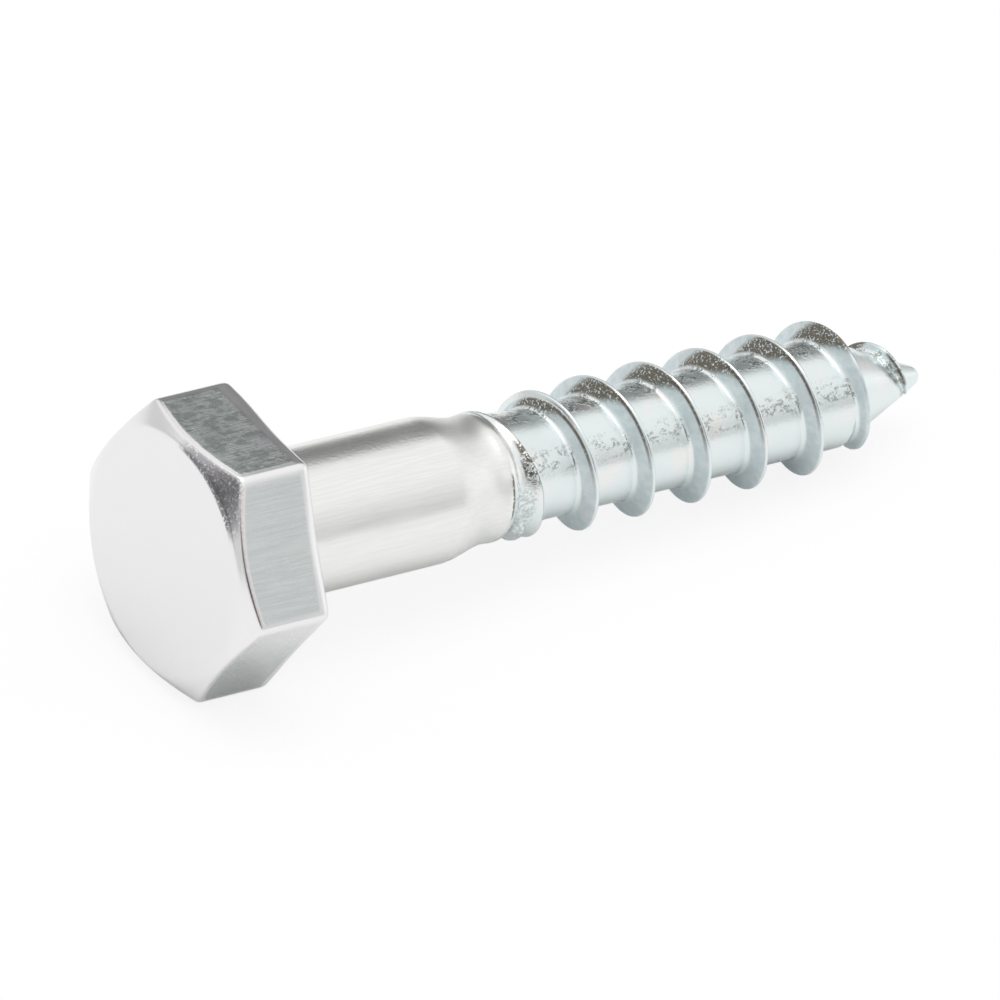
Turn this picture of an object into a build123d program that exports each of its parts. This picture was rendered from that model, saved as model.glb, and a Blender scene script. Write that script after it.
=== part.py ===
"""A hexagon head lag screw (coach screw) for wood, about 10 mm by 50 mm, in zinc-plated steel.

The screw is one solid. It is drawn upright, with its axis on Z, the seat under the head at Z = 0
and the point upwards, and is then laid down as it rests on a flat floor: on the edge of one hexagon
flat and on the crest of its thread. In the written file the origin is the centre of the seat under
the head, +X runs along the screw towards the point and +Z is up.
"""

from build123d import *
from math import asin, atan, ceil, cos, hypot, radians, sin, tan
import os

# ---- Driving dimensions, in millimetres and degrees ----

# Head
ACROSS_FLATS = 17.0
HEAD_HEIGHT = 6.2
TOP_CIRCLE_DIAMETER = 16.24  # flat top inside the chamfer
HEAD_CHAMFER_ANGLE = 30.0  # chamfer cone, measured from the top face
HEAD_EDGE_RADIUS = 0.3  # between two flats, and between the flats and the seat
TOP_EDGE_RADIUS = 0.9  # soft turn between the top face and the chamfer

# Plain shank and the neck that leads down to the thread
SHANK_DIAMETER = 9.45
SHANK_LENGTH = 13.5
SEAT_CONE = 0.4  # the short cone where the shank meets the seat
NECK_DIAMETER = 8.24
NECK_LENGTH = 3.4
COLLAR_DIAMETER = 8.46  # slight swell where the thread rolling began
COLLAR_LENGTH = 0.9

# Thread
THREAD_DIAMETER = 9.58
ROOT_DIAMETER = 7.14
PITCH = 4.38
FLANK_ANGLE = 27.5  # each flank, measured from a plane square to the axis
CREST_WIDTH = 0.24
START_ANGLE = 315.2  # where the crest leaves the neck, from +X towards +Y

# Run-in, where the rolled thread grows out of the neck as a broad low ridge with two lips
RUN_IN_LENGTH = 7.4
RUN_IN_ROOT_LENGTH = 5.1  # over which the root comes down to its full depth
RUN_IN_SHOULDER = 1.7  # before the root starts to come down
RUN_IN_THREAD_DIAMETER = 8.2
RUN_IN_ROOT_DIAMETER = 7.86
RUN_IN_CREST_WIDTH = 1.4

# Point
LENGTH = 52.1  # from the seat under the head to the tip
POINT_LENGTH = 7.2
TIP_RADIUS = 0.72
TIP_RIDGE_HEIGHT = 0.42  # what the thread would come down to at the tip, if it went so far
THREAD_END = 0.7  # from the end of the thread to the tip
THREAD_FADE = 1.1  # over which the end of the thread sinks into the point
LAST_TURN_LEAN = 0.4  # how far the last turn stands back towards the head

# ---- Fineness of the thread's surface ----
SECTIONS_PER_TURN = 16
THREAD_SINK = 0.3  # how far the thread's base lies inside the core

# ---- Worked-out sizes ----
neck_z = SHANK_LENGTH + NECK_LENGTH
collar_z = neck_z + COLLAR_LENGTH
full_thread_z = neck_z + RUN_IN_LENGTH
cone_z = LENGTH - POINT_LENGTH
root_radius = ROOT_DIAMETER / 2
full_ridge = (THREAD_DIAMETER - ROOT_DIAMETER) / 2
thread_end_z = LENGTH - THREAD_END

# The point's cone touches the ball at the tip, so its slope comes from both
ball_z = LENGTH - TIP_RADIUS
ball_distance = hypot(root_radius, ball_z - cone_z)
cone_angle = atan(root_radius / (ball_z - cone_z)) - asin(TIP_RADIUS / ball_distance)
touch_z = ball_z + TIP_RADIUS * sin(cone_angle)
touch_radius = TIP_RADIUS * cos(cone_angle)


def blend(value, low, high):
    """How far value has gone from low to high, from 0 to 1."""
    return min(max((value - low) / (high - low), 0.0), 1.0)


def head():
    """A hexagonal prism below the seat, with a 30 degree chamfer round its top face."""
    hexagon = RegularPolygon(ACROSS_FLATS / 2, 6, major_radius=False)
    outline = fillet(hexagon.vertices(), HEAD_EDGE_RADIUS)
    prism = extrude(outline, -HEAD_HEIGHT)
    prism = fillet(prism.faces().sort_by(Axis.Z)[-1].edges(), HEAD_EDGE_RADIUS)
    top_radius = TOP_CIRCLE_DIAMETER / 2
    reach = ACROSS_FLATS
    drop = (reach - top_radius) * tan(radians(HEAD_CHAMFER_ANGLE))
    profile = Polyline(
        (0, -HEAD_HEIGHT),
        (top_radius, -HEAD_HEIGHT),
        (reach, drop - HEAD_HEIGHT),
        (reach, 1),
        (0, 1),
        close=True,
    )
    turned = revolve(Plane.XZ * make_face(profile))
    top_edge = turned.edges().filter_by(GeomType.CIRCLE).sort_by(Axis.Z)[0]
    return prism & fillet(top_edge, TOP_EDGE_RADIUS)


def s_curve(start, end):
    """Two equal arcs that leave start and reach end along the axis."""
    middle = ((start[0] + end[0]) / 2, (start[1] + end[1]) / 2)
    first = TangentArc(start, middle, tangent=(0, 1))
    return [first, TangentArc(middle, end, tangent=first % 1)]


def core():
    """Everything turned about the axis: shank, neck, collar, the root of the thread and the point."""
    shank_radius = SHANK_DIAMETER / 2
    seat_radius = shank_radius + SEAT_CONE
    neck = (NECK_DIAMETER / 2, neck_z)
    collar = (COLLAR_DIAMETER / 2, collar_z)
    run_in_root = (RUN_IN_ROOT_DIAMETER / 2, neck_z + RUN_IN_SHOULDER)
    full_root = (root_radius, neck_z + RUN_IN_ROOT_LENGTH)
    cone_start = (root_radius, cone_z)
    tip_start = (touch_radius, touch_z)
    profile = [
        Line((seat_radius, 0), (shank_radius, SEAT_CONE)),
        Line((shank_radius, SEAT_CONE), (shank_radius, SHANK_LENGTH)),
        *s_curve((shank_radius, SHANK_LENGTH), neck),
        Line(neck, collar),
        Line(collar, run_in_root),
        Line(run_in_root, full_root),
        Line(full_root, cone_start),
        Line(cone_start, tip_start),
        RadiusArc(tip_start, (0, LENGTH), -TIP_RADIUS),
        Polyline((0, LENGTH), (0, -HEAD_HEIGHT / 2), (seat_radius, -HEAD_HEIGHT / 2), (seat_radius, 0)),
    ]
    return revolve(Plane.XZ * make_face(profile))


def root_at(z):
    """Radius of the core under the thread: down along the run-in, level, then down the point."""
    run_in_radius = RUN_IN_ROOT_DIAMETER / 2
    fall = blend(z, neck_z + RUN_IN_SHOULDER, neck_z + RUN_IN_ROOT_LENGTH)
    level = run_in_radius + (root_radius - run_in_radius) * fall
    return level - max(z - cone_z, 0) * tan(cone_angle)


def ridge_at(z):
    """Height of the thread above the core: it grows along the run-in and dies along the point."""
    growth = blend(z, neck_z, full_thread_z)
    run_in_radius = RUN_IN_THREAD_DIAMETER / 2
    crest_radius = run_in_radius + (THREAD_DIAMETER / 2 - run_in_radius) * growth
    if z < cone_z:
        return crest_radius - root_at(z)
    height = full_ridge + (TIP_RIDGE_HEIGHT - full_ridge) * blend(z, cone_z, LENGTH)
    return height - (height + THREAD_SINK / 2) * blend(z, thread_end_z - THREAD_FADE, thread_end_z)


def lean_at(z):
    """How far the crest stands back towards the head: the last full turn leans, its neighbours don't."""
    rise = blend(z, cone_z - PITCH / 4, cone_z + PITCH / 4)
    fall = blend(z, cone_z + PITCH / 2, cone_z + PITCH)
    return LAST_TURN_LEAN * rise * (1 - fall)


def thread_section(z):
    """The thread's profile where its crest stands at height z, with its base sunk in the core."""
    angle = START_ANGLE + 360 * (z - neck_z) / PITCH
    growth = blend(z, neck_z, full_thread_z)
    crest_half = (RUN_IN_CREST_WIDTH + (CREST_WIDTH - RUN_IN_CREST_WIDTH) * growth) / 2
    crest = root_at(z) + ridge_at(z)
    base_half = crest_half + (ridge_at(z) + THREAD_SINK) * tan(radians(FLANK_ANGLE))
    low, high = z - base_half, z + base_half
    lean = lean_at(z)
    corners = [
        (root_at(low) - THREAD_SINK, 0, low),
        (crest, 0, z - lean - crest_half),
        (crest, 0, z - lean + crest_half),
        (root_at(high) - THREAD_SINK, 0, high),
    ]
    return Wire.make_polygon(corners, close=True).rotate(Axis.Z, angle)


def thread():
    """The helical ridge, a turn at a time, each drawn through the profile at even steps of angle."""
    turns = ceil((thread_end_z - neck_z) / PITCH)
    stations = [neck_z + PITCH * turn for turn in range(turns)] + [thread_end_z]
    ridge = []
    for start, end in zip(stations, stations[1:]):
        count = ceil((end - start) * SECTIONS_PER_TURN / PITCH)
        steps = [start + (end - start) * i / count for i in range(count + 1)]
        ridge.append(Solid.make_loft([thread_section(z) for z in steps]))
    return ridge


def at_rest(screw):
    """Lay the screw down: the flat below the head and the last full crest that faces down touch."""
    turns = (cone_z - neck_z) / PITCH - (270 - START_ANGLE) / 360
    resting_z = neck_z + PITCH * (int(turns) + (270 - START_ANGLE) / 360)
    drop = ACROSS_FLATS / 2 - HEAD_EDGE_RADIUS - THREAD_DIAMETER / 2
    reach = resting_z + HEAD_EDGE_RADIUS
    dip = atan(drop / reach) + asin(HEAD_EDGE_RADIUS / hypot(drop, reach))
    lying = Plane(origin=(0, 0, 0), x_dir=(0, 1, 0), z_dir=(cos(dip), 0, -sin(dip)))
    return lying * screw


upright = (head() + core()).fuse(*thread())
lag_screw = at_rest(upright)
os.makedirs("parts", exist_ok=True)
export_step(lag_screw, "parts/lag_screw.step")
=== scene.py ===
"""A zinc-plated lag screw. It lies on a pale floor, on an edge of its head and on its thread."""

import bpy
from math import asin, atan, ceil, cos, hypot, pi, radians, sin, tan
from types import SimpleNamespace
from mathutils import Matrix, Vector


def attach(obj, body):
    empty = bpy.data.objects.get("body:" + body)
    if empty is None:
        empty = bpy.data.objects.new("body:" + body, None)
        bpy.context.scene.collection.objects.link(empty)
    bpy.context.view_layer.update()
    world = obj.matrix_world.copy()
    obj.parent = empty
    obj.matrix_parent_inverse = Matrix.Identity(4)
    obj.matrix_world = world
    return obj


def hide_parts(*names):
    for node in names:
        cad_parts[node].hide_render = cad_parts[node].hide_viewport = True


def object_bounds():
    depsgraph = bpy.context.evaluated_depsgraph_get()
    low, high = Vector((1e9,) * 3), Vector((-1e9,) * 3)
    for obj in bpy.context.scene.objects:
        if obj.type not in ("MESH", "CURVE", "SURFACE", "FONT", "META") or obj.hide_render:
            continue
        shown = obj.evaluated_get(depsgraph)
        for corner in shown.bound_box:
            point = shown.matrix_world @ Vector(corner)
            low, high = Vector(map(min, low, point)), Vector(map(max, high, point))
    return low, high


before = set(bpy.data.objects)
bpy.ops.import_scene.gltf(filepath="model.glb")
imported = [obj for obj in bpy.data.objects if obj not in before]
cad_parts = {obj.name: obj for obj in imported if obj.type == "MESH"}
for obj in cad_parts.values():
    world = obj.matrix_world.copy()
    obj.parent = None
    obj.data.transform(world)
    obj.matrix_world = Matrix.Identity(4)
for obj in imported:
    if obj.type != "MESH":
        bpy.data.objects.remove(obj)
cad_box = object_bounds()

# ---- Sizes of the screw ----
# In millimetres and degrees. The seat under the head is at height 0, and heights grow towards the
# point. Four heights or angles in a row say where something starts, is full, starts to go, is gone.
MM = 0.001
FULL_TURN = 360  # degrees

ACROSS_FLATS = 17.0
HEAD_HEIGHT = 6.2
TOP_CIRCLE_RADIUS = 8.12
CHAMFER_ANGLE = 30.0
CORNER_RADIUS = 0.6  # between two flats
TOP_TURN = 0.32  # width of the soft turn between the top face and the chamfer
TOP_TURN_SHARE = 0.3  # share of the chamfer that the turn takes up, where the chamfer is narrow
CHAMFER_TURN = 0.27  # half width of the turn between the chamfer and a flat
WIDE_TURN = 0.8  # how much further that turn reaches down one of the flats, as a share
WIDE_TURN_ANGLES = (62, 74, 106, 118)
DEEP_CHAMFER = 0.16  # how much deeper the chamfer was pressed on one side
DEEP_CHAMFER_INWARD = 0.2  # how far that moves its edge on the top face inwards
DEEP_CHAMFER_ANGLES = (44, 76, 164, 196)
SEAT_TURN = 0.5  # width of the turn between a flat and the seat, on the seat
SEAT_TURN_UP = 0.95  # and on the flat
SEAT_TURN_AT_CORNERS = 0.72  # share of both that is left at the hexagon's corners
SEAT_TURN_GROWTH = (1, 29)  # degrees from a corner between which the turn grows to its full size
SEAT_SAG = 0.45  # how far forging left one corner of the seat below the rest
SEAT_SAG_ANGLES = (4, 52, 68, 116)

SHANK_RADIUS = 4.735
SHANK_SWELL = 0.05  # how much thicker the shank is under the head
SHANK_LENGTH = 13.5
SEAT_FILLET = 0.5
NECK_RADIUS = 4.13
NECK_LENGTH = 3.4
COLLAR_RADIUS = 4.19
COLLAR_LENGTH = 0.9

THREAD_RADIUS = 4.79
ROOT_RADIUS = 3.57
PITCH = 4.38
FLANK_ANGLE = 27.5
CREST_WIDTH = 0.16
CREST_SOFTNESS = 0.1  # rounding of the crest
START_ANGLE = 315.2

# Run-in: the thread starts as a low ridge, with a sharp lip towards the point and a blunt one
# behind it
RUN_IN_ROOT_LENGTH = 5.1
RUN_IN_SHOULDER = 1.7
RUN_IN_ROOT_RADIUS = 3.93
RUN_IN_START_RADIUS = 4.0
RUN_IN_THREAD_RADIUS = 4.24
RUN_IN_GROWTH = (18.0, 24.6)  # heights between which the crest rises to its full radius
RUN_IN_BACK_SLOPE = 1.7  # run of the sharp lip's back flank to its rise
RUN_IN_BACK_HEIGHTS = (20.4, 22.2)  # heights between which that flank turns into the thread's own
SHARP_LIP_LEAN = 0.4  # how far the sharp lip stands ahead of the thread's own line
SHARP_LIP_HEIGHTS = (18.5, 19.5, 20.8, 24.3)
BLUNT_LIP_BACK = 0.72  # how far the blunt lip stands behind it
BLUNT_LIP_WIDTH = 0.24
BLUNT_LIP_HEIGHTS = (19.4, 20.1, 21.0, 22.6)
BLUNT_LIP_SOFTNESS = 0.15
BLUNT_LIP_DROP = 2.0  # how deep it sinks where it isn't wanted
BLUNT_LIP_BLEND = 0.1  # rounding where it meets the root
ROOT_SOFTNESS = 0.09  # rounding where the flanks meet the root
LAP_RISE = 0.1  # a thin fold of metal that the rolling left across the neck
LAP_HEIGHT = 17.66
LAP_PROFILE = (-0.8, 0, 0.02, 0.16)  # its heights, from LAP_HEIGHT
LAP_ANGLES = (136, 150, 180, 196)

LENGTH = 52.1
POINT_LENGTH = 7.2
TIP_RADIUS = 0.72
TIP_RIDGE_HEIGHT = 0.42
THREAD_END = 0.9
THREAD_FADE = 2.0
THREAD_FADE_DEPTH = 1.5  # how far the ridge sinks there, as a multiple of its height at the tip
LAST_TURN_LEAN = 0.4  # how far the last turn stands back towards the head
LAST_TURN_SPAN = (-0.25, 0.25, 0.5, 1.0)  # in pitches from the start of the cone
TIP_OFFSET = 0.2  # the point is rolled a little off the axis
TIP_OFFSET_ANGLE = 230.0

# How the screw lies: its axis dips by this much from the head down to the point
DIP = 4.941

# ---- Fineness of the mesh ----
COLUMNS = 216  # round the axis, a multiple of 6
CORNER_CROWDING = 0.4  # spacing of the columns at the head's corners, as a share of the even one
ROWS_PER_TURN = 34
CREST_CROWDING = 0.65  # how much closer the rows stand at the crest of the thread
TIP_ROWS = 6
MERGE_DISTANCE = 0.001 * MM  # closes the seams between the bands of the skin

# ---- Worked-out sizes ----
neck_end = SHANK_LENGTH + NECK_LENGTH
cone_start = LENGTH - POINT_LENGTH
ball_centre = LENGTH - TIP_RADIUS
ball_distance = hypot(ROOT_RADIUS, ball_centre - cone_start)
cone_angle = atan(ROOT_RADIUS / (ball_centre - cone_start)) - asin(TIP_RADIUS / ball_distance)
touch_height = ball_centre + TIP_RADIUS * sin(cone_angle)
groove_start = neck_end - PITCH * (START_ANGLE / FULL_TURN + 0.5)  # half way between crests
groove_start -= PITCH * ceil((groove_start - SHANK_LENGTH + PITCH) / PITCH)

# The sizes that the tree takes as named inputs
SIZES = {
    "across_flats": ACROSS_FLATS,
    "head_height": HEAD_HEIGHT,
    "top_circle_radius": TOP_CIRCLE_RADIUS,
    "corner_radius": CORNER_RADIUS,
    "top_turn": TOP_TURN,
    "chamfer_turn": CHAMFER_TURN,
    "seat_turn": SEAT_TURN,
    "seat_turn_up": SEAT_TURN_UP,
    "deep_chamfer": DEEP_CHAMFER,
    "seat_sag": SEAT_SAG,
    "seat_fillet": SEAT_FILLET,
    "shank_radius": SHANK_RADIUS,
    "shank_swell": SHANK_SWELL,
    "shank_length": SHANK_LENGTH,
    "neck_radius": NECK_RADIUS,
    "collar_radius": COLLAR_RADIUS,
    "thread_radius": THREAD_RADIUS,
    "root_radius": ROOT_RADIUS,
    "crest_width": CREST_WIDTH,
    "run_in_root_radius": RUN_IN_ROOT_RADIUS,
    "run_in_start_radius": RUN_IN_START_RADIUS,
    "run_in_thread_radius": RUN_IN_THREAD_RADIUS,
    "sharp_lip_lean": SHARP_LIP_LEAN,
    "root_softness": ROOT_SOFTNESS,
    "lap_rise": LAP_RISE,
    "length": LENGTH,
    "cone_start": cone_start,
    "cone_slope": tan(cone_angle),
    "ball_centre": ball_centre,
    "tip_radius": TIP_RADIUS,
    "tip_ridge_height": TIP_RIDGE_HEIGHT,
    "last_turn_lean": LAST_TURN_LEAN,
    "tip_offset": TIP_OFFSET,
}


# ---- Shape rules: numbers worked out at every point of a mesh or a material by Math nodes ----
class Rule:
    """A number that varies from point to point. Sums and products of rules add Math nodes."""

    def __init__(self, tree, socket):
        self.tree = tree
        self.socket = socket

    def feed(self, value, socket):
        if isinstance(value, Rule):
            self.tree.links.new(value.socket, socket)
        else:
            socket.default_value = value

    def math(self, operation, *others):
        node = self.tree.nodes.new("ShaderNodeMath")
        node.operation = operation
        for value, socket in zip((self, *others), node.inputs):
            self.feed(value, socket)
        return Rule(self.tree, node.outputs[0])

    def __add__(self, other):
        return self.math("ADD", other)

    def __sub__(self, other):
        return self.math("SUBTRACT", other)

    def __mul__(self, other):
        return self.math("MULTIPLY", other)

    def __truediv__(self, other):
        return self.math("DIVIDE", other)

    __radd__ = __add__
    __rmul__ = __mul__

    def __rsub__(self, other):
        return self * -1 + other

    def __abs__(self):
        return self.math("ABSOLUTE")

    def step(self, low, high, smooth=True):
        """How far the rule has gone from low to high, from 0 to 1."""
        node = self.tree.nodes.new("ShaderNodeMapRange")
        node.interpolation_type = "SMOOTHSTEP" if smooth else "LINEAR"
        node.clamp = True
        self.feed(self, node.inputs["Value"])
        self.feed(low, node.inputs["From Min"])
        self.feed(high, node.inputs["From Max"])
        return Rule(self.tree, node.outputs[0])

    def window(self, start, full, fading, end):
        """1 between full and fading, 0 before start and after end."""
        return self.step(start, full) * (1 - self.step(fading, end))

    def sine(self):
        return self.math("SINE")

    def cosine(self):
        return self.math("COSINE")

    def fraction(self):
        return self.math("FRACT")

    def whole(self):
        return self.math("FLOOR")

    def at_least(self, other):
        return self.math("MAXIMUM", other)

    def at_most(self, other):
        return self.math("MINIMUM", other)

    def soft_greatest(self, other, softness):
        return self.math("SMOOTH_MAX", other, softness)


class ScrewTree:
    """The Geometry Nodes tree that turns grids into the bands of the screw's skin."""

    def __init__(self, sizes):
        """Start the tree, with one named input for each of the sizes."""
        self.tree = bpy.data.node_groups.new("screw_skin", "GeometryNodeTree")
        for side in ("INPUT", "OUTPUT"):
            self.new_socket("Geometry", side, "NodeSocketGeometry")
        self.inputs = self.add("NodeGroupInput")
        self.output = self.add("NodeGroupOutput")
        self.values = {}
        self.size = SimpleNamespace(**{name: self.named_size(name, sizes[name]) for name in sizes})
        self.bands = []
        place = self.add("ShaderNodeSeparateXYZ")
        self.link(self.add("GeometryNodeInputPosition").outputs[0], place.inputs[0])
        # A grid is 1 wide and its middle is at 0, so both run from 0 to 1
        self.round = Rule(self.tree, place.outputs["X"]) + 0.5
        self.along = Rule(self.tree, place.outputs["Y"]) + 0.5

    def new_socket(self, name, side, kind):
        return self.tree.interface.new_socket(name=name, in_out=side, socket_type=kind)

    def add(self, kind):
        return self.tree.nodes.new(kind)

    def link(self, start, end):
        self.tree.links.new(start, end)

    def named_size(self, name, value):
        """A named input, with its value kept for the modifier."""
        socket = self.new_socket(name, "INPUT", "NodeSocketFloat")
        self.values[socket.identifier] = value
        return Rule(self.tree, self.inputs.outputs[name])

    def band(self, rows, radius, height, angle):
        """A grid bent to radius and height rules, once round the axis."""
        size = self.size
        grid = self.add("GeometryNodeMeshGrid")
        grid.inputs["Vertices X"].default_value = COLUMNS + 1
        grid.inputs["Vertices Y"].default_value = rows + 1
        bend = height.step(size.cone_start, size.ball_centre) * size.tip_offset
        across = radius * angle.cosine() + bend * cos(radians(TIP_OFFSET_ANGLE))
        up = radius * angle.sine() + bend * sin(radians(TIP_OFFSET_ANGLE))
        dip = radians(DIP)
        place = self.add("ShaderNodeCombineXYZ")
        lying = (
            (up * sin(dip) + height * cos(dip)) * MM,
            across * MM,
            (up * cos(dip) - height * sin(dip)) * MM,
        )
        for rule, socket in zip(lying, place.inputs):
            self.link(rule.socket, socket)
        bent = self.add("GeometryNodeSetPosition")
        self.link(grid.outputs["Mesh"], bent.inputs["Geometry"])
        self.link(place.outputs[0], bent.inputs["Position"])
        self.bands.append(bent)

    def finish(self, material):
        join = self.add("GeometryNodeJoinGeometry")
        for band in reversed(self.bands):
            self.link(band.outputs[0], join.inputs[0])
        merge = self.add("GeometryNodeMergeByDistance")
        merge.inputs["Distance"].default_value = MERGE_DISTANCE
        smooth = self.add("GeometryNodeSetShadeSmooth")
        real = self.add("GeometryNodeRealizeInstances")
        paint = self.add("GeometryNodeSetMaterial")
        paint.inputs["Material"].default_value = material
        chain = [join, merge, smooth, real, paint]
        for first, second in zip(chain, chain[1:]):
            self.link(first.outputs[0], second.inputs[0])
        self.link(paint.outputs[0], self.output.inputs[0])


def column_angle(tree):
    """Angle round the axis in radians, with the columns crowded at the six corners of the head."""
    sixths = tree.round * 6
    corner = (sixths + 0.5).whole()
    part = (sixths - corner) * 2
    bend = part * (part * part * (1 - CORNER_CROWDING) + CORNER_CROWDING)
    return (corner * 2 + bend) * (pi / 6)


def in_degrees(angle):
    """The angle from 0 to 360 degrees."""
    return (angle / (2 * pi)).fraction() * FULL_TURN


def hexagon_radius(size, angle):
    """Distance from the axis to the hexagon's outline, with rounded corners."""
    half = size.across_flats / 2
    sector = pi / 3
    off_corner = ((angle / sector + 0.5).fraction() - 0.5) * sector
    off_flat = abs(off_corner) * -1 + sector / 2
    flat = half / off_flat.cosine()
    arc_centre = (half - size.corner_radius) / cos(sector / 2)
    side = off_corner.sine() * arc_centre
    reach = (size.corner_radius * size.corner_radius - side * side).at_least(0).math("SQRT")
    arc = off_corner.cosine() * arc_centre + reach
    turn = ((half - size.corner_radius) * tan(sector / 2) / half).math("ARCTANGENT")
    on_arc = off_flat.math("GREATER_THAN", turn)
    return flat + (arc - flat) * on_arc


def skin_head(tree, angle):
    """Top face, chamfer, flats, seat and shank."""
    size = tree.size
    along = tree.along
    slope = tan(radians(CHAMFER_ANGLE))
    lean, drop = cos(radians(CHAMFER_ANGLE)), sin(radians(CHAMFER_ANGLE))
    top = size.head_height * -1
    degrees = in_degrees(angle)
    deep = degrees.window(*DEEP_CHAMFER_ANGLES)
    top_circle = size.top_circle_radius - deep * DEEP_CHAMFER_INWARD
    rim = hexagon_radius(size, angle)
    rim_height = (rim - size.top_circle_radius) * slope + top + deep * size.deep_chamfer
    turned_in = ((rim - top_circle) * (TOP_TURN_SHARE / lean)).at_most(size.top_turn)
    turn_down = size.chamfer_turn * (degrees.window(*WIDE_TURN_ANGLES) * WIDE_TURN + 1)
    sag = degrees.window(*SEAT_SAG_ANGLES) * size.seat_sag
    sixth = FULL_TURN / 6
    off_corner = abs((degrees / sixth + 0.5).fraction() - 0.5) * sixth
    seat_share = off_corner.step(*SEAT_TURN_GROWTH) * (1 - SEAT_TURN_AT_CORNERS)
    seat_share = seat_share + SEAT_TURN_AT_CORNERS

    top_end = (top_circle - size.top_turn, top)
    top_corner = (top_circle, top)
    chamfer_start = (turned_in * lean + top_circle, turned_in * drop + top)
    chamfer_end = (rim - size.chamfer_turn * lean, rim_height - size.chamfer_turn * drop)
    flat_start = (rim, rim_height + turn_down)
    flat_end = (rim, sag - size.seat_turn_up * seat_share)
    seat_start = (rim - size.seat_turn * seat_share, sag)
    shank_radius = size.shank_radius + size.shank_swell
    seat_end = (shank_radius + size.seat_fillet, 0)
    shank_start = (shank_radius, size.seat_fillet)

    def straight(start, end, rows):
        radius = along * (end[0] - start[0]) + start[0]
        height = along * (end[1] - start[1]) + start[1]
        tree.band(rows, radius, height, angle)

    def turned(start, corner, end, rows):
        back = 1 - along
        near, middle, far = back * back, back * along * 2, along * along
        radius = near * start[0] + middle * corner[0] + far * end[0]
        height = near * start[1] + middle * corner[1] + far * end[1]
        tree.band(rows, radius, height, angle)

    straight((0, top), top_end, rows=4)
    turned(top_end, top_corner, chamfer_start, rows=5)
    straight(chamfer_start, chamfer_end, rows=3)
    turned(chamfer_end, (rim, rim_height), flat_start, rows=6)
    straight(flat_start, flat_end, rows=5)
    turned(flat_end, (rim, sag), seat_start, rows=8)
    straight(seat_start, seat_end, rows=3)
    turned(seat_end, (shank_radius, 0), shank_start, rows=6)
    straight(shank_start, (size.shank_radius, size.shank_length), rows=6)


def core_radius(size, height):
    """Shank, neck, collar, root of the thread and cone."""
    neck = height.step(size.shank_length, neck_end) * (size.neck_radius - size.shank_radius)
    collar_end = neck_end + COLLAR_LENGTH
    collar = height.step(neck_end, collar_end) * (size.collar_radius - size.neck_radius)
    shoulder_end = neck_end + RUN_IN_SHOULDER
    shoulder = height.step(collar_end, shoulder_end)
    shoulder = shoulder * (size.run_in_root_radius - size.collar_radius)
    fall = height.step(shoulder_end, neck_end + RUN_IN_ROOT_LENGTH, smooth=False)
    fall = fall * (size.root_radius - size.run_in_root_radius)
    cone = (height - size.cone_start).at_least(0) * size.cone_slope
    return neck + collar + shoulder + fall - cone + size.shank_radius


def crest_radius(size, height):
    """The thread's crest: low at the neck, full along the screw, falling on the point."""
    start = size.run_in_start_radius
    rise = height.step(neck_end, RUN_IN_GROWTH[0]) * (size.run_in_thread_radius - start)
    growth = height.step(*RUN_IN_GROWTH) * (size.thread_radius - size.run_in_thread_radius)
    down_cone = (height - size.cone_start).at_least(0) * size.cone_slope
    full_ridge = size.thread_radius - size.root_radius
    dying = height.step(size.cone_start, size.length, smooth=False)
    dying = dying * (full_ridge - size.tip_ridge_height)
    thread_end = size.length - THREAD_END
    end = height.step(thread_end - THREAD_FADE, thread_end)
    end = end * size.tip_ridge_height * THREAD_FADE_DEPTH
    return start + rise + growth - down_cone - dying - end


def distance_past_crest(height, turn):
    """Distance along the axis from the nearest line of the thread's crest."""
    return (((height - groove_start) / PITCH - turn).fraction() - 0.5) * PITCH


def skin_thread(tree, angle):
    """Neck, thread and cone: the rows follow the helix, and gather on a circle at each end."""
    size = tree.size
    turns = ceil((touch_height - groove_start) / PITCH)
    turn = angle / (2 * pi)
    rows = tree.along * turns
    crowd = (rows * (2 * pi)).sine() * (CREST_CROWDING / (2 * pi))
    height = (rows + crowd + turn) * PITCH + groove_start
    height = height.at_least(size.shank_length).at_most(touch_height)
    off_crest = distance_past_crest(height, turn)
    crest_height = height - off_crest
    crest = crest_radius(size, crest_height)

    ahead = crest_height.window(*SHARP_LIP_HEIGHTS) * size.sharp_lip_lean
    last_turn = crest_height.window(*(cone_start + PITCH * share for share in LAST_TURN_SPAN))
    off_lip = off_crest - ahead + last_turn * size.last_turn_lean
    flank = tan(radians(FLANK_ANGLE))
    head_side = off_lip.math("LESS_THAN", 0.0)
    gentle = (1 - crest_height.step(*RUN_IN_BACK_HEIGHTS)) * head_side
    run = gentle * (RUN_IN_BACK_SLOPE - flank) + flank
    ridge = crest - (abs(off_lip) - size.crest_width / 2).soft_greatest(0, CREST_SOFTNESS) / run

    blunt_gone = 1 - crest_height.window(*BLUNT_LIP_HEIGHTS)
    off_blunt = abs(off_crest + BLUNT_LIP_BACK) - BLUNT_LIP_WIDTH / 2
    blunt = crest - off_blunt.soft_greatest(0, BLUNT_LIP_SOFTNESS) - blunt_gone * BLUNT_LIP_DROP

    lap = height.window(*(LAP_HEIGHT + part for part in LAP_PROFILE))
    lap = lap * in_degrees(angle).window(*LAP_ANGLES) * size.lap_rise
    core = core_radius(size, height) + lap
    radius = core.soft_greatest(ridge, size.root_softness).soft_greatest(blunt, BLUNT_LIP_BLEND)
    tree.band(turns * ROWS_PER_TURN, radius, height, angle)


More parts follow.
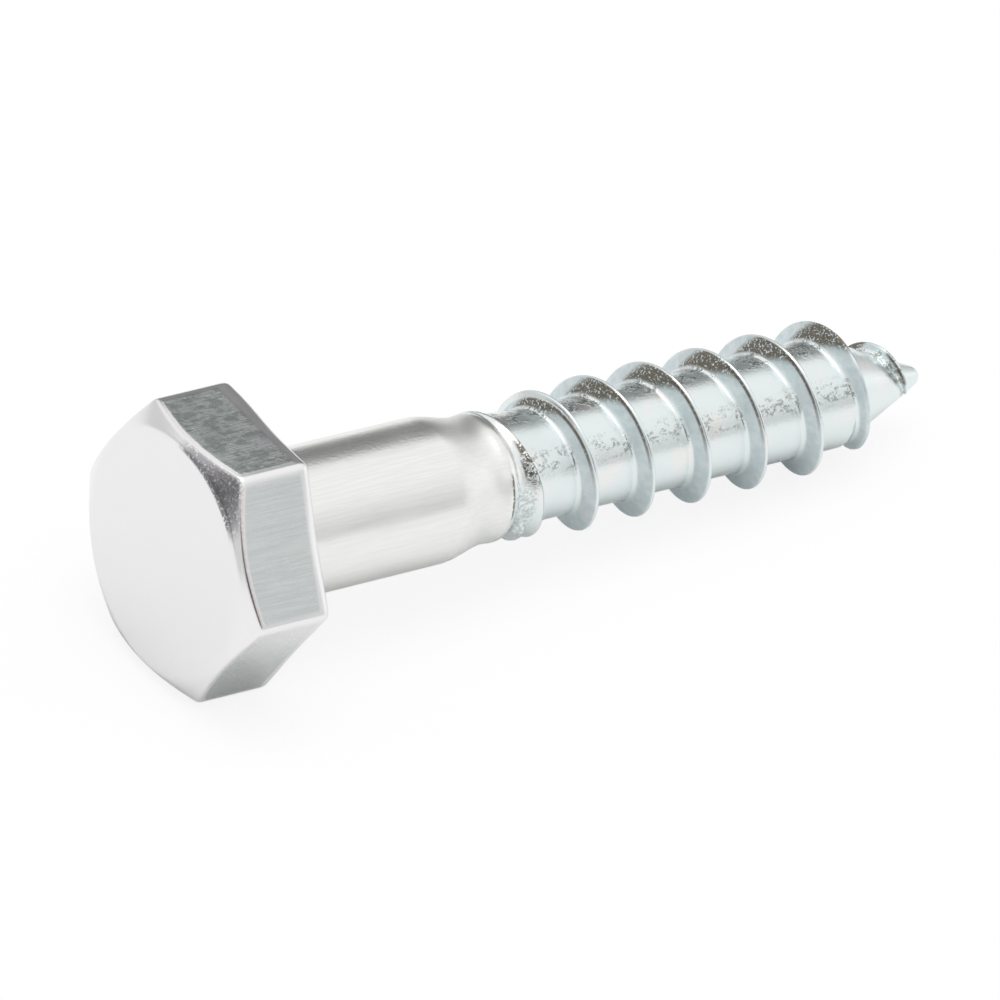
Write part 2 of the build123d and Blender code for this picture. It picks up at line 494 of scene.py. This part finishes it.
def skin_tip(tree, angle):
    """The small ball at the end of the point."""
    lift = tree.along * (pi / 2 - cone_angle) + cone_angle
    radius = lift.cosine() * tree.size.tip_radius
    height = lift.sine() * tree.size.tip_radius + tree.size.ball_centre
    tree.band(TIP_ROWS, radius, height, angle)


def make_screw(material):
    """The whole screw as one closed skin."""
    tree = ScrewTree(SIZES)
    angle = column_angle(tree)
    skin_head(tree, angle)
    skin_thread(tree, angle)
    skin_tip(tree, angle)
    tree.finish(material)
    holder = bpy.data.objects.new("screw_builder", bpy.data.meshes.new("screw_builder"))
    bpy.context.collection.objects.link(holder)
    modifier = holder.modifiers.new("skin", "NODES")
    modifier.node_group = tree.tree
    for identifier, value in tree.values.items():
        modifier[identifier] = value
    evaluated = holder.evaluated_get(bpy.context.evaluated_depsgraph_get())
    mesh = bpy.data.meshes.new_from_object(evaluated)
    holder.modifiers.clear()
    bpy.data.objects.remove(holder)
    mesh.name = "zinc_plated_screw"
    screw = bpy.data.objects.new("zinc_plated_screw", mesh)
    bpy.context.collection.objects.link(screw)
    return screw


# ---- Materials ----
WHITE = (1, 1, 1)
FLOOR_COLOUR = (0.9, 0.9, 0.9)
FLOOR_ROUGHNESS = 0.9
FLOOR_GLOW = 0.85  # share of plain white in what the camera sees of the floor

# Grain of the plating: grains to a millimetre along, across and up, detail and roughness
GRAINS = {
    "lines": ((0.3, 6.0, 6.0), 3.0, 0.6),  # along the flats
    "streaks": ((2.0, 6.0, 6.0), 5.0, 0.7),
    "grain": ((5.0, 5.0, 5.0), 4.0, 0.6),
    "speckle": ((8.0, 8.0, 8.0), 1.0, 0.5),
    "blots": ((1.1, 1.6, 1.6), 3.0, 0.6),
    "clouds": ((0.3, 0.3, 0.3), 2.0, 0.5),
}

# Depth of the fine relief in millimetres: everywhere, and how much more at some places
BRUSHING_DEPTH = (0.002, {"flats": 0.012, "worn_flat": 0.02})
GRAIN_DEPTH = (
    0.003,
    {
        "thread": 0.01,
        "flank": 0.006,
        "worn_flat": 0.02,
        "scuffed": 0.014,
        "strip": 0.03,
        "peened": 0.02,
    },
)
SPECKLE_DEPTH = (0.0, {"burnt": 0.06})

# Roughness of the surface, and how much the clouds and the streaks of the flats add to it
ROUGHNESS = (0.2, {"flank": 0.22, "matt": 0.14})
CLOUD_ROUGHNESS = 0.05
STREAK_ROUGHNESS = 0.08

# Marks on the head, and painted light and shade on its lower flats
HEAD_EDGE = (0.1, -0.1)  # heights between which the head's own colour comes in
FLATS_UNDER_CHAMFER = (0.2, 0.4)  # distances under the chamfer where a flat's brushing comes in
FLATS_OVER_SEAT = (-0.9, -0.6)  # heights where it goes
FLATS_RADII = (8.3, 8.45, 9.5, 9.65)
WORN_FLAT_ANGLES = (58, 62, 118, 122)
# Angles of a painted lighter band near 180 degrees and of painted shade further round the flats
PAINTED_LIGHT_FLAT_ANGLES = (176, 183, 187, 216)
PAINTED_SHADE_FLAT_ANGLES = (196, 240, 262, 290)
SCUFFED_ANGLES = (84, 96, 132, 144)  # a patch on the chamfer
SCUFFED_UNDER_CHAMFER = (0.0, 0.1)
SCUFFED_FROM_RIM = (-0.22, -0.02)  # distances outside the top circle where the patch comes in
SCUFFED_RIM = (-0.32, -0.2, 0.03, 0.13)  # and of its darker rim
TAN_LINE = (0.03, 0.09, 0.15, 0.23)  # distances under the chamfer
CLEAN_EDGE_ANGLES = ((58, 66, 114, 122), (184, 192, 300, 330))  # where the tan line is fainter

# Marks on the shank and the neck, and painted shade in the fold
PEENED_HEIGHTS = (0.3, 0.8, 12.0, 14.5)  # fine dents along one side
PEENED_ANGLES = (60, 72, 94, 104)
MATT_HEIGHTS = (13.0, 14.5, 17.4, 17.7)
FOLD_SHADE_PROFILE = (0, 0.05, 0.16, 0.24)  # heights of the painted shade in the fold, from LAP_HEIGHT
FOLD_SHADE_ANGLES = (140, 150, 180, 190)
NECK_STRIP_HEIGHTS = (17.8, 18.1, 19.4, 19.8)
NECK_STRIP_ANGLES = (150, 170, 215, 225)

# Marks on the thread, some with painted shade. Distances past the crest are less than 0 on the side
# of the head.
THREAD_FROM_NECK = (0.6, 1.4)  # heights past the neck where the thread's own colour comes in
FLANK_OFF_ROOT = (0.1, 0.3)  # distances off the root where a flank starts
FLANK_HEIGHTS = (20.0, 21.0)
FLANK_PAST_CREST = (-0.06, -0.14)
ROOT_HEIGHTS = (18.6, 19.4, 45.0, 46.0)
BROWN_AND_SHADE_ANGLES = (46, 62, 92, 108)  # at the radius below: brown speckles on the flanks, darkened further as painted shade
BROWN_AND_SHADE_RADIUS = 4.2
BROWN_AND_SHADE_TWIST = 25  # degrees that the brown, painted-shade patch moves round for each millimetre off that radius
# A painted dark reflection along the crest's edge, on the side of the head
PAINTED_CREST_LINE_PAST_CREST = (-0.25, -0.19, -0.14, -0.1)
PAINTED_CREST_LINE_ANGLES = (92, 106, 136, 180)
LIP_PAST_CREST = (-0.25, -0.05, 0.4, 0.55)
LIP_HEIGHTS = (18.3, 18.7, 20.0, 20.4)
LIP_ANGLES = (112, 122, 150, 166)
TIP_RIDGE_HEIGHTS = (45.5, 46.5, 50.0, 50.6)
TIP_RIDGE_PAST_CREST = (-0.6, -0.4, -0.1, 0.1)
UPPER_STRIP_ANGLES = (58, 68, 88, 98)
SIDE_STRIP_ANGLES = (122, 138, 148, 158)

# Colours of the zinc, some of them as a darker and a lighter one
SMOOTH_ZINC = ((0.8, 0.8, 0.785), (0.845, 0.845, 0.825))
HEAD_ZINC = (0.83, 0.825, 0.835)
BRUSHED_ZINC = ((0.63, 0.665, 0.665), (0.70, 0.735, 0.73))
WORN_ZINC = (0.46, 0.5, 0.48)
# Painted light and painted shade on the lower flats
PAINTED_LIGHT_FLAT_ZINC = (0.84, 0.84, 0.83)
PAINTED_SHADE_FLAT_ZINC = (0.46, 0.46, 0.455)
SCUFFED_ZINC = (0.46, 0.45, 0.47)
SCUFFED_RIM_ZINC = (0.2, 0.195, 0.2)
TAN_ZINC = (0.68, 0.57, 0.47)
ROLLED_ZINC = (0.76, 0.82, 0.82)
FLANK_ZINC = ((0.62, 0.7, 0.725), (0.72, 0.775, 0.785))
STRIP_ZINC = (0.22, 0.25, 0.235)
# Brown speckles on the flanks, the first lip and the point's ridge; on the flanks and in the fold
# this darkness is also painted shade
BROWN_AND_SHADE_ZINC = (0.19, 0.175, 0.145)
# Painted dark reflection along the crest's edge
PAINTED_CREST_LINE_ZINC = (0.13, 0.105, 0.08)


def new_material(name):
    material = bpy.data.materials.new(name)
    material.use_nodes = True
    return material, material.node_tree, material.node_tree.nodes["Principled BSDF"]


def axis_places(tree):
    """Object coordinates turned level with the axis, in millimetres: along, across and up."""
    coordinates = tree.nodes.new("ShaderNodeTexCoord")
    level = tree.nodes.new("ShaderNodeMapping")
    level.inputs["Rotation"].default_value = (0, -radians(DIP), 0)
    level.inputs["Scale"].default_value = (1 / MM, 1 / MM, 1 / MM)
    tree.links.new(coordinates.outputs["Object"], level.inputs["Vector"])
    return level.outputs["Vector"]


def axes_of(tree, places):
    """The three numbers of a place, as rules."""
    split = tree.nodes.new("ShaderNodeSeparateXYZ")
    tree.links.new(places, split.inputs[0])
    return [Rule(tree, split.outputs[name]) for name in "XYZ"]


def noise(tree, places, stretch, detail, roughness):
    """Noise with so many grains to a millimetre along, across and up."""
    spread = tree.nodes.new("ShaderNodeVectorMath")
    spread.operation = "MULTIPLY"
    spread.inputs[1].default_value = stretch
    tree.links.new(places, spread.inputs[0])
    grain = tree.nodes.new("ShaderNodeTexNoise")
    grain.inputs["Scale"].default_value = 1.0
    grain.inputs["Detail"].default_value = detail
    grain.inputs["Roughness"].default_value = roughness
    tree.links.new(spread.outputs[0], grain.inputs["Vector"])
    return Rule(tree, grain.outputs["Fac"])


def mixed(tree, share, first, second):
    """A colour between two others, each given as numbers or as a socket."""
    mix = tree.nodes.new("ShaderNodeMix")
    mix.data_type = "RGBA"
    tree.links.new(share.socket, mix.inputs["Factor"])
    for name, colour in (("A", first), ("B", second)):
        socket = next(i for i in mix.inputs if i.name == name and i.type == "RGBA")
        if isinstance(colour, tuple):
            socket.default_value = (*colour, 1)
        else:
            tree.links.new(colour, socket)
    return next(o for o in mix.outputs if o.type == "RGBA")


def marked_places(along, radius, turn, blots):
    """Where the plating differs, and where light and shade are painted: each place is 1 inside it
    and 0 outside.
    """
    place = SimpleNamespace()
    degrees = turn * FULL_TURN
    past_crest = distance_past_crest(along, turn)

    # The head
    deep = degrees.window(*DEEP_CHAMFER_ANGLES)
    under_chamfer = along + HEAD_HEIGHT
    under_chamfer = under_chamfer - (radius - TOP_CIRCLE_RADIUS) * tan(radians(CHAMFER_ANGLE))
    under_chamfer = under_chamfer - deep * DEEP_CHAMFER
    from_rim = radius + deep * DEEP_CHAMFER_INWARD - TOP_CIRCLE_RADIUS
    place.head = along.step(*HEAD_EDGE)
    place.flats = place.head * under_chamfer.step(*FLATS_UNDER_CHAMFER)
    place.flats = place.flats * (1 - along.step(*FLATS_OVER_SEAT)) * radius.window(*FLATS_RADII)
    place.worn_flat = place.flats * degrees.window(*WORN_FLAT_ANGLES)
    # Painted light and painted shade on the lower flats
    place.pale_flat = degrees.window(*PAINTED_LIGHT_FLAT_ANGLES)
    place.dull_flat = degrees.window(*PAINTED_SHADE_FLAT_ANGLES)
    scuffed = place.head * (1 - under_chamfer.step(*SCUFFED_UNDER_CHAMFER))
    scuffed = scuffed * degrees.window(*SCUFFED_ANGLES)
    place.scuffed_rim = scuffed * from_rim.window(*SCUFFED_RIM)
    place.scuffed = scuffed * from_rim.step(*SCUFFED_FROM_RIM)
    place.edge = place.head * under_chamfer.window(*TAN_LINE) * radius.window(*FLATS_RADII)
    place.clean_edge = sum(degrees.window(*angles) for angles in CLEAN_EDGE_ANGLES)

    # The shank and the neck
    place.peened = along.window(*PEENED_HEIGHTS) * degrees.window(*PEENED_ANGLES)
    place.matt = along.window(*MATT_HEIGHTS)
    # Painted shade in the crease of the fold
    fold_shade = along.window(*(LAP_HEIGHT + part for part in FOLD_SHADE_PROFILE))
    fold_shade = fold_shade * degrees.window(*FOLD_SHADE_ANGLES)
    neck_strip = along.window(*NECK_STRIP_HEIGHTS) * degrees.window(*NECK_STRIP_ANGLES)

    # The thread
    off_root = radius - core_radius(SimpleNamespace(**SIZES), along)
    place.thread = along.step(*(neck_end + part for part in THREAD_FROM_NECK))
    place.flank = off_root.step(*FLANK_OFF_ROOT) * along.step(*FLANK_HEIGHTS)
    place.flank = place.flank * past_crest.step(*FLANK_PAST_CREST)
    root = (1 - off_root.step(*FLANK_OFF_ROOT)) * along.window(*ROOT_HEIGHTS)
    # Painted dark reflection along the crest's edge, on the side of the head
    place.seam = place.flank * past_crest.window(*PAINTED_CREST_LINE_PAST_CREST)
    place.seam = place.seam * degrees.window(*PAINTED_CREST_LINE_ANGLES)

    # Brown speckles on the flanks, the first lip and the point's ridge; on the flanks and in the
    # fold the darkness is also painted shade
    twisted = degrees - (radius - BROWN_AND_SHADE_RADIUS) * BROWN_AND_SHADE_TWIST
    lip = past_crest.window(*LIP_PAST_CREST) * along.window(*LIP_HEIGHTS)
    lip = lip * degrees.window(*LIP_ANGLES) * blots.step(0.42, 0.52)
    tip_ridge = along.window(*TIP_RIDGE_HEIGHTS) * past_crest.window(*TIP_RIDGE_PAST_CREST)
    tip_ridge = tip_ridge * blots.step(0.47, 0.57) * 0.7
    place.burnt = place.flank * twisted.window(*BROWN_AND_SHADE_ANGLES) + lip + tip_ridge + fold_shade

    upper_strip = root * degrees.window(*UPPER_STRIP_ANGLES) * blots.step(0.46, 0.55)
    side_strip = root * degrees.window(*SIDE_STRIP_ANGLES) * blots.step(0.46, 0.6) * 0.75
    place.strip = upper_strip + side_strip + neck_strip * 0.5
    return place


def zinc_colour(tree, place, grain):
    """The zinc's colour: one layer over another, each with its share. Some layers are painted light
    and shade.
    """
    brushed = (grain.lines * 0.75 + grain.streaks * 0.25).step(0.35, 0.65)
    flats = mixed(tree, brushed, *BRUSHED_ZINC)
    flats = mixed(tree, place.worn_flat * grain.blots.step(0.45, 0.6), flats, WORN_ZINC)
    # Painted light and painted shade mixed into the flats' colour
    flats = mixed(tree, place.pale_flat * 0.7, flats, PAINTED_LIGHT_FLAT_ZINC)
    flats = mixed(tree, place.dull_flat * 0.5, flats, PAINTED_SHADE_FLAT_ZINC)
    flank = mixed(tree, grain.blots.step(0.35, 0.65), *FLANK_ZINC)
    spots = grain.speckle * 0.5 + grain.grain * 0.5
    tan_share = grain.grain.step(0.7, 0.4) * (0.6 - place.clean_edge * 0.35)
    # Strength of the painted dark reflection along the crest
    painted_crest_line_share = grain.grain.step(0.7, 0.5) * 0.5 + 0.4
    layers = (
        (place.head, HEAD_ZINC),
        (place.flats, flats),
        (place.scuffed * grain.grain.step(0.66, 0.52), SCUFFED_ZINC),
        (place.scuffed_rim * grain.grain.step(0.64, 0.52), SCUFFED_RIM_ZINC),
        (place.edge * tan_share, TAN_ZINC),
        (place.thread * grain.clouds.step(0.25, 0.5), ROLLED_ZINC),
        (place.flank, flank),
        (place.strip * grain.grain.step(0.57, 0.45) * 0.88, STRIP_ZINC),
        # Brown speckles, with painted shade on the flanks and in the fold
        (place.burnt * spots.step(0.6, 0.53), BROWN_AND_SHADE_ZINC),
        # Painted dark reflection along the crest's edge
        (place.seam * painted_crest_line_share, PAINTED_CREST_LINE_ZINC),
    )
    colour = mixed(tree, grain.lines.step(0.3, 0.7), *SMOOTH_ZINC)
    for share, layer in layers:
        colour = mixed(tree, share, colour, layer)
    return colour


def more_at(place, everywhere, extra):
    """A value that is greater at some places."""
    return sum((getattr(place, name) * more for name, more in extra.items()), everywhere)


def zinc_relief(place, grain):
    """Height of the fine relief, in millimetres."""
    relief = (grain.lines * 0.7 + grain.streaks * 0.3) * more_at(place, *BRUSHING_DEPTH)
    relief = relief + grain.grain * more_at(place, *GRAIN_DEPTH)
    return relief + grain.speckle * more_at(place, *SPECKLE_DEPTH)


def zinc_plating():
    """Bright zinc on steel: brushed along the flats, grainy where the die rolled the thread."""
    material, tree, shader = new_material("zinc_plating")
    places = axis_places(tree)
    along, across, up = axes_of(tree, places)
    radius = (across * across + up * up).math("SQRT")
    turn = (up.math("ARCTAN2", across) / (2 * pi)).fraction()
    grain = SimpleNamespace(**{name: noise(tree, places, *GRAINS[name]) for name in GRAINS})
    place = marked_places(along, radius, turn, grain.blots)

    bump = tree.nodes.new("ShaderNodeBump")
    bump.inputs["Strength"].default_value = 1.0
    bump.inputs["Distance"].default_value = MM
    tree.links.new(zinc_relief(place, grain).socket, bump.inputs["Height"])
    rough = grain.clouds.step(0.35, 0.65) * CLOUD_ROUGHNESS + more_at(place, *ROUGHNESS)
    rough = rough + grain.streaks * place.flats * STREAK_ROUGHNESS
    shader.inputs["Metallic"].default_value = 1.0
    tree.links.new(bump.outputs["Normal"], shader.inputs["Normal"])
    tree.links.new(rough.socket, shader.inputs["Roughness"])
    tree.links.new(zinc_colour(tree, place, grain), shader.inputs["Base Color"])
    return material


def pale_floor():
    """White to the eye, with the screw's shadow kept in it."""
    material, tree, shader = new_material("pale_floor")
    shader.inputs["Base Color"].default_value = (*FLOOR_COLOUR, 1)
    shader.inputs["Roughness"].default_value = FLOOR_ROUGHNESS
    glow = tree.nodes.new("ShaderNodeEmission")
    glow.inputs["Color"].default_value = (*WHITE, 1)
    seen = Rule(tree, tree.nodes.new("ShaderNodeLightPath").outputs["Is Camera Ray"])
    mix = tree.nodes.new("ShaderNodeMixShader")
    tree.links.new((seen * FLOOR_GLOW).socket, mix.inputs["Fac"])
    tree.links.new(shader.outputs[0], mix.inputs[1])
    tree.links.new(glow.outputs[0], mix.inputs[2])
    tree.links.new(mix.outputs[0], tree.nodes["Material Output"].inputs["Surface"])
    return material


# ---- The piece ----
screw = make_screw(zinc_plating())
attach(screw, "root")
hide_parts("lag_screw")

# ---- Floor ----
FLOOR_SIZE = 2.0
floor_mesh = bpy.data.meshes.new("floor")
half = FLOOR_SIZE / 2
low = cad_box[0][2]
corners = [(-half, -half, low), (half, -half, low), (half, half, low), (-half, half, low)]
floor_mesh.from_pydata(corners, [], [(0, 1, 2, 3)])
floor_mesh.materials.append(pale_floor())
floor = bpy.data.objects.new("floor", floor_mesh)
bpy.context.collection.objects.link(floor)

# ---- Camera ----
CAMERA_DISTANCE = 2.0
CAMERA_HEADING = 52.287  # direction of view, from +X towards +Y
CAMERA_TILT = 35.894  # below the horizon
CAMERA_ROLL = 6.326
CAMERA_FIELD = 0.06315  # width seen at the aim point
CAMERA_AIM = Vector((0.02001, 0.00023, -0.00417))
SENSOR = 36.0

heading, tilt = radians(CAMERA_HEADING), radians(CAMERA_TILT)
sight = Vector((cos(heading) * cos(tilt), sin(heading) * cos(tilt), -sin(tilt)))
level = sight.cross(Vector((0, 0, 1))).normalized()
right = Matrix.Rotation(-radians(CAMERA_ROLL), 3, sight) @ level
up = right.cross(sight)
camera_data = bpy.data.cameras.new("camera")
camera_data.sensor_width = SENSOR
camera_data.lens = SENSOR * CAMERA_DISTANCE / CAMERA_FIELD
camera = bpy.data.objects.new("camera", camera_data)
bpy.context.collection.objects.link(camera)
turn = Matrix((right, up, -sight)).transposed().to_4x4()
camera.matrix_world = Matrix.Translation(CAMERA_AIM - sight * CAMERA_DISTANCE) @ turn
bpy.context.scene.camera = camera

# ---- Light: a pale tent with dark gaps and one bright window in it, and a lamp overhead ----
TENT_LOW = 0.7
TENT_HIGH = 1.03
TENT_RISE = (0.05, 0.75)  # sines of the heights between which it brightens
# Heading and height of each one's middle, angles from there where it is full and where it ends,
# and its level
DARK_GAPS = (
    (49, 19, 11, 32, 0.26),
    (165, 10, 14, 20, 0.1),
    (-120, 15, 9, 21, 0.03),
)
BRIGHT_WINDOW = (-18, 4, 10, 32, 1.15)
LAMP_SIZE = 0.5
LAMP_HEIGHT = 0.8
LAMP_LEVEL = 2.1


def way(heading, height):
    """Direction at a heading from +X and a height angle above the floor."""
    heading, height = radians(heading), radians(height)
    return Vector((cos(heading) * cos(height), sin(heading) * cos(height), sin(height)))


def light_tent():
    """The world: pale all round, brighter above, with the dark gaps and the bright window."""
    world = bpy.data.worlds.new("light_tent")
    world.use_nodes = True
    tree = world.node_tree
    x, y, z = axes_of(tree, tree.nodes.new("ShaderNodeTexCoord").outputs["Generated"])
    level = z.step(*TENT_RISE) * (TENT_HIGH - TENT_LOW) + TENT_LOW
    for heading, height, full, end, patch_level in (*DARK_GAPS, BRIGHT_WINDOW):
        middle = way(heading, height)
        near = x * middle.x + y * middle.y + z * middle.z
        level = level + (patch_level - level) * near.step(cos(radians(end)), cos(radians(full)))
    seen = Rule(tree, tree.nodes.new("ShaderNodeLightPath").outputs["Is Camera Ray"])
    level = level + (1 - level) * seen
    tree.links.new(level.socket, tree.nodes["Background"].inputs["Strength"])
    tree.nodes["Background"].inputs["Color"].default_value = (*WHITE, 1)
    bpy.context.scene.world = world


def overhead_lamp():
    data = bpy.data.lights.new("overhead_lamp", "AREA")
    data.size = LAMP_SIZE
    data.energy = LAMP_LEVEL * LAMP_SIZE**2 * pi
    lamp = bpy.data.objects.new("overhead_lamp", data)
    lamp.location = CAMERA_AIM + Vector((0, 0, LAMP_HEIGHT))
    bpy.context.collection.objects.link(lamp)


light_tent()
overhead_lamp()
bpy.context.scene.view_settings.view_transform = "Standard"
